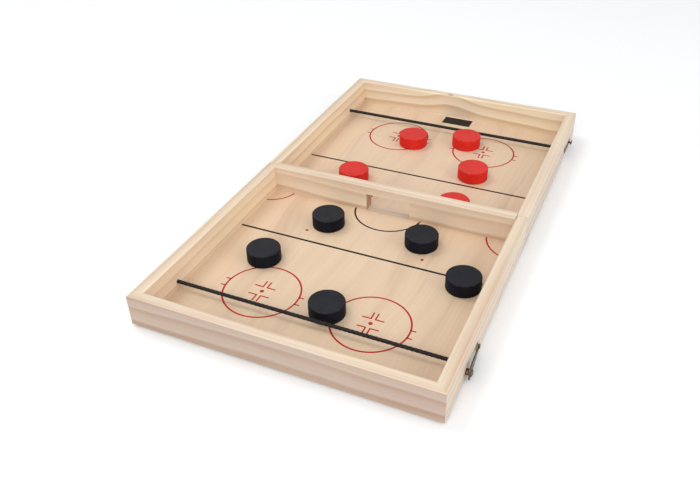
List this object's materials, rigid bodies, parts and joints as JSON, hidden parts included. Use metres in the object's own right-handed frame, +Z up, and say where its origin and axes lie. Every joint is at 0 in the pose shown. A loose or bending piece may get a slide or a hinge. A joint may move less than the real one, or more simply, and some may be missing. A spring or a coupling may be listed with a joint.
{
  "type": "folding sling-puck board",
  "caption": "Folding wooden tabletop puck board: two hinged trays, a gated divider, elastic cords across both ends, loose round pucks and side hook latches.",
  "frame": {"origin": "on the table, under the middle of the seam between the two trays", "axes": "+X across the board, +Y along it towards the far tray, +Z up"},
  "size_m": [0.3226, 0.54, 0.036],
  "materials": {
    "pine": "sanded, clear matt",
    "pine_divider": "sanded, clear matt",
    "plywood": "smooth satin plywood, printed lines",
    "foot_pad": "matt",
    "elastic": "braided sleeve",
    "black_paint": "satin paint",
    "red_paint": "satin paint",
    "hinge_steel": "antique bronze plate",
    "bronze": "antique bronze plate"
  },
  "bodies": {
    "near_tray": {"near_left_rail": "pine", "near_right_rail": "pine", "near_end_rail": "pine", "near_divider": "pine_divider", "near_panel": "plywood", "near_feet": "foot_pad", "near_cord": "elastic", "near_cord_knots": "elastic", "near_hinge_screws": "hinge_steel", "left_hinge_near_leaf": "hinge_steel", "right_hinge_near_leaf": "hinge_steel", "left_hinge_pin": "hinge_steel", "right_hinge_pin": "hinge_steel", "left_hook_spacer": "bronze", "right_hook_spacer": "bronze", "left_pivot_screw": "bronze", "right_pivot_screw": "bronze"},
    "far_tray": {"far_left_rail": "pine", "far_right_rail": "pine", "far_end_rail": "pine", "far_divider": "pine_divider", "far_panel": "plywood", "far_feet": "foot_pad", "far_cord": "elastic", "far_cord_knots": "elastic", "far_hinge_screws": "hinge_steel", "left_hinge_far_leaf": "hinge_steel", "right_hinge_far_leaf": "hinge_steel", "left_strike_plate": "bronze", "right_strike_plate": "bronze", "left_plate_screws": "bronze", "right_plate_screws": "bronze", "left_catch_stud": "bronze", "right_catch_stud": "bronze"},
    "left_hook": {"left_hook": "bronze"},
    "right_hook": {"right_hook": "bronze"},
    "black_puck_1": {"black_puck_1": "black_paint"},
    "black_puck_2": {"black_puck_2": "black_paint"},
    "black_puck_3": {"black_puck_3": "black_paint"},
    "black_puck_4": {"black_puck_4": "black_paint"},
    "black_puck_5": {"black_puck_5": "black_paint"},
    "red_puck_1": {"red_puck_1": "red_paint"},
    "red_puck_2": {"red_puck_2": "red_paint"},
    "red_puck_3": {"red_puck_3": "red_paint"},
    "red_puck_4": {"red_puck_4": "red_paint"},
    "red_puck_5": {"red_puck_5": "red_paint"}
  },
  "joints": [
    {"name": "fold", "type": "hinge", "parent": "near_tray", "child": "far_tray", "pos_m": [0, 0, 0.0017], "axis": [-1, 0, 0], "range_deg": [0, 179.2]},
    {"name": "left_hook_swing", "type": "hinge", "parent": "near_tray", "child": "left_hook", "pos_m": [-0.1588, -0.2135, 0.009], "axis": [1, 0, 0], "range_deg": [0, 213.8]},
    {"name": "right_hook_swing", "type": "hinge", "parent": "near_tray", "child": "right_hook", "pos_m": [0.1588, -0.2135, 0.009], "axis": [1, 0, 0], "range_deg": [0, 213.8]},
    {"name": "black_puck_1_slide", "type": "slide", "parent": "near_tray", "child": "black_puck_1", "axis": [0, 1, 0], "range_m": [-0.0549, 0.0723]},
    {"name": "black_puck_2_slide", "type": "slide", "parent": "near_tray", "child": "black_puck_2", "axis": [0, 1, 0], "range_m": [-0.0725, 0.02485]},
    {"name": "black_puck_3_slide", "type": "slide", "parent": "near_tray", "child": "black_puck_3", "axis": [0, 1, 0], "range_m": [-0.1417, 0.02235]},
    {"name": "black_puck_4_slide", "type": "slide", "parent": "near_tray", "child": "black_puck_4", "axis": [0, 1, 0], "range_m": [-0.0897, 0.07435]},
    {"name": "black_puck_5_slide", "type": "slide", "parent": "near_tray", "child": "black_puck_5", "axis": [0, 1, 0], "range_m": [-0.002, 0.16205]},
    {"name": "red_puck_1_slide", "type": "slide", "parent": "far_tray", "child": "red_puck_1", "axis": [0, 1, 0], "range_m": [-0.1038, 0.0254]},
    {"name": "red_puck_2_slide", "type": "slide", "parent": "far_tray", "child": "red_puck_2", "axis": [0, 1, 0], "range_m": [-0.0578, 0.0034]},
    {"name": "red_puck_3_slide", "type": "slide", "parent": "far_tray", "child": "red_puck_3", "axis": [0, 1, 0], "range_m": [-0.0448, 0.0552]},
    {"name": "red_puck_4_slide", "type": "slide", "parent": "far_tray", "child": "red_puck_4", "axis": [0, 1, 0], "range_m": [-0.02645, 0.1004]},
    {"name": "red_puck_5_slide", "type": "slide", "parent": "far_tray", "child": "red_puck_5", "axis": [0, 1, 0], "range_m": [-0.00355, 0.0423]}
  ]
}
